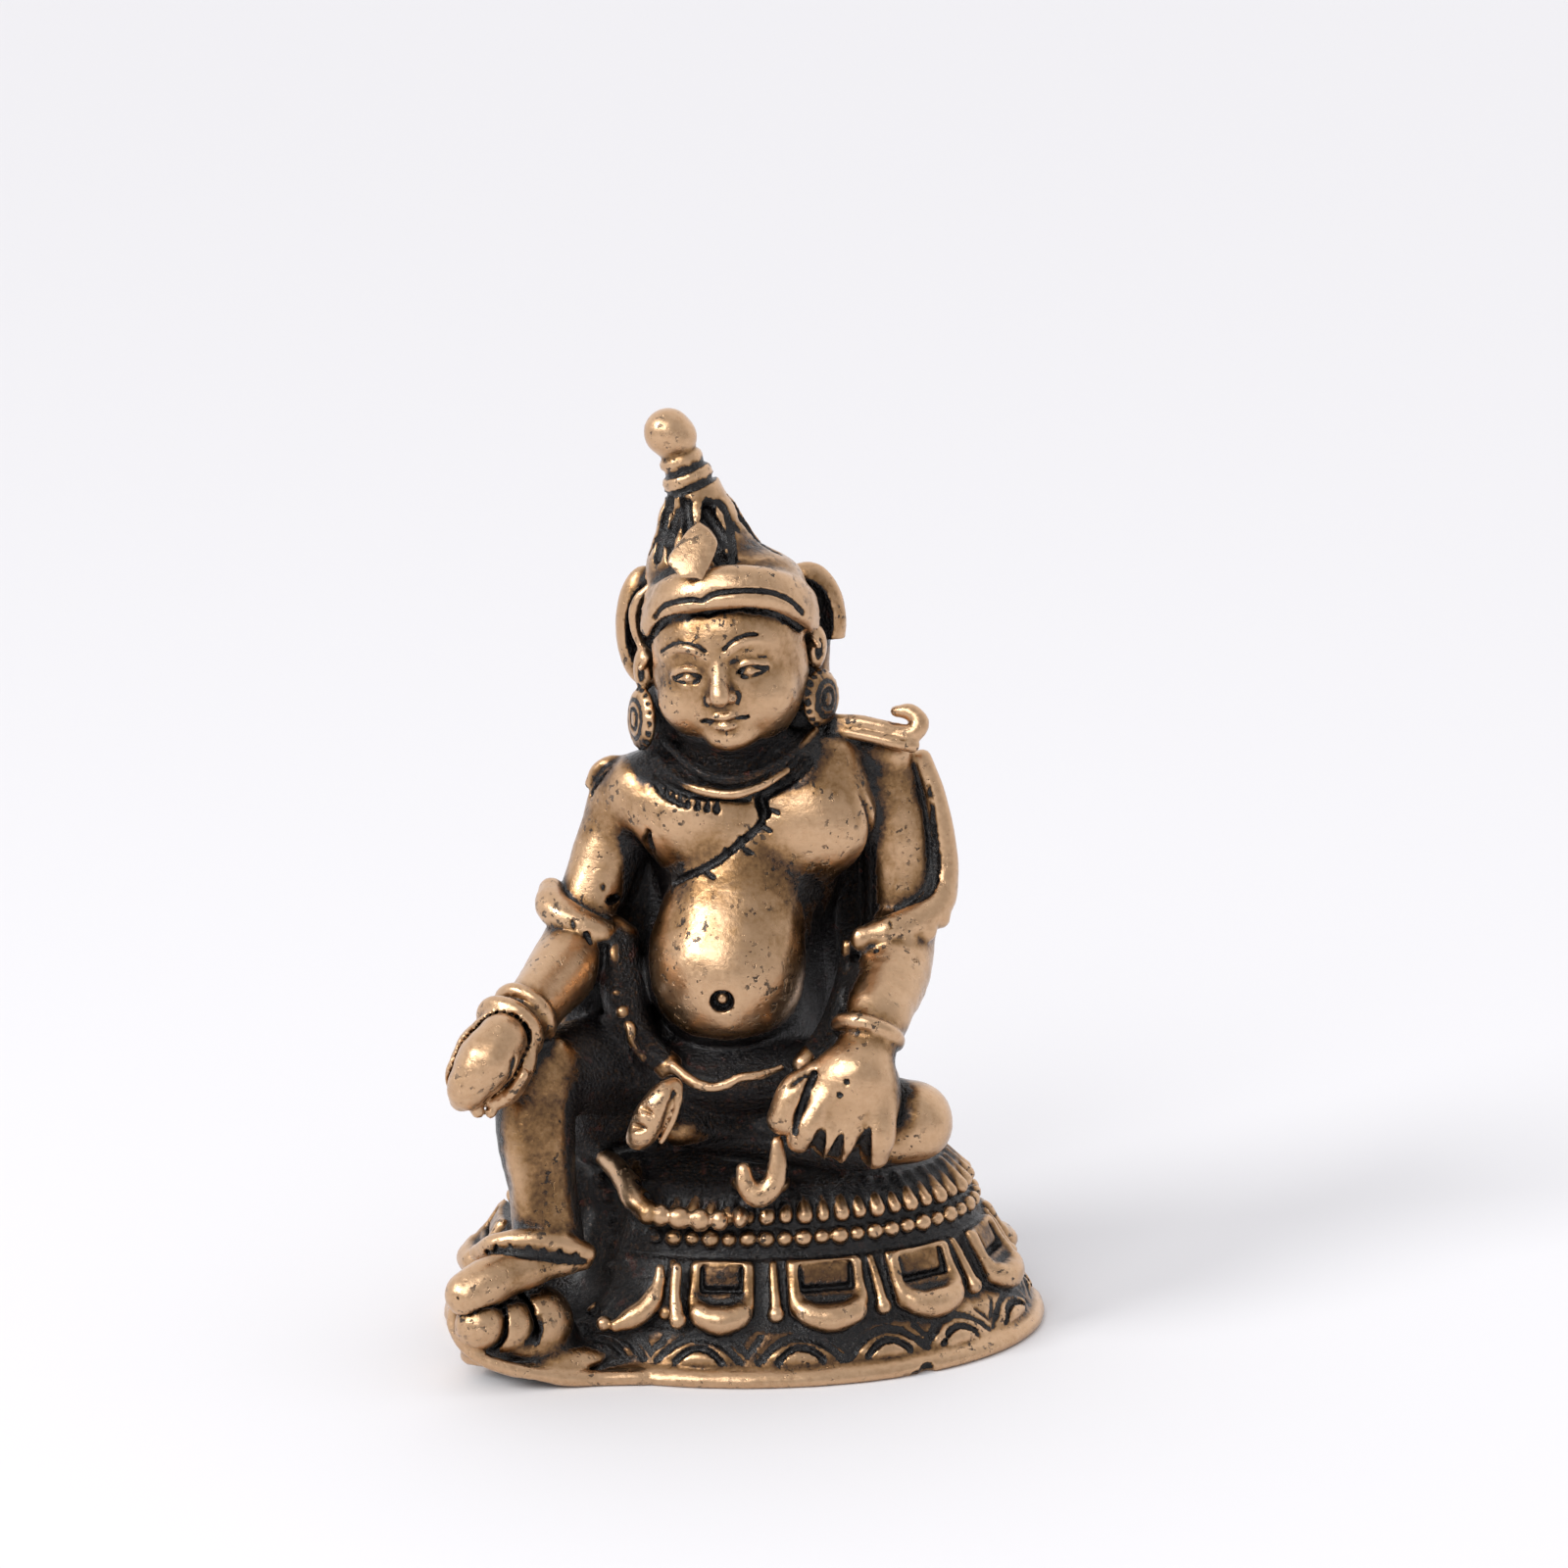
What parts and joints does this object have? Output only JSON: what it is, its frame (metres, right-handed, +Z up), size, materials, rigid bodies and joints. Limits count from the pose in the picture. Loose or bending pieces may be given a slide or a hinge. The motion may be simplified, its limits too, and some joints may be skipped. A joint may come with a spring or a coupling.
{
  "type": "jambhala statue",
  "caption": "Small cast figure of a pot-bellied wealth deity seated at ease on an oval lotus throne, one foot hanging on its own small lotus.",
  "frame": {"origin": "middle of the oval throne's flat underside, on the surface that the statue stands on", "axes": "+Z up, +X to the viewer's right, and the figure faces -Y"},
  "size_m": [0.045, 0.0334, 0.0689],
  "materials": {
    "bronze": "worn warm bronze with a black-brown patina in the hollows"
  },
  "bodies": {
    "root": {"jambhala_statue": "bronze"}
  },
  "joints": []
}
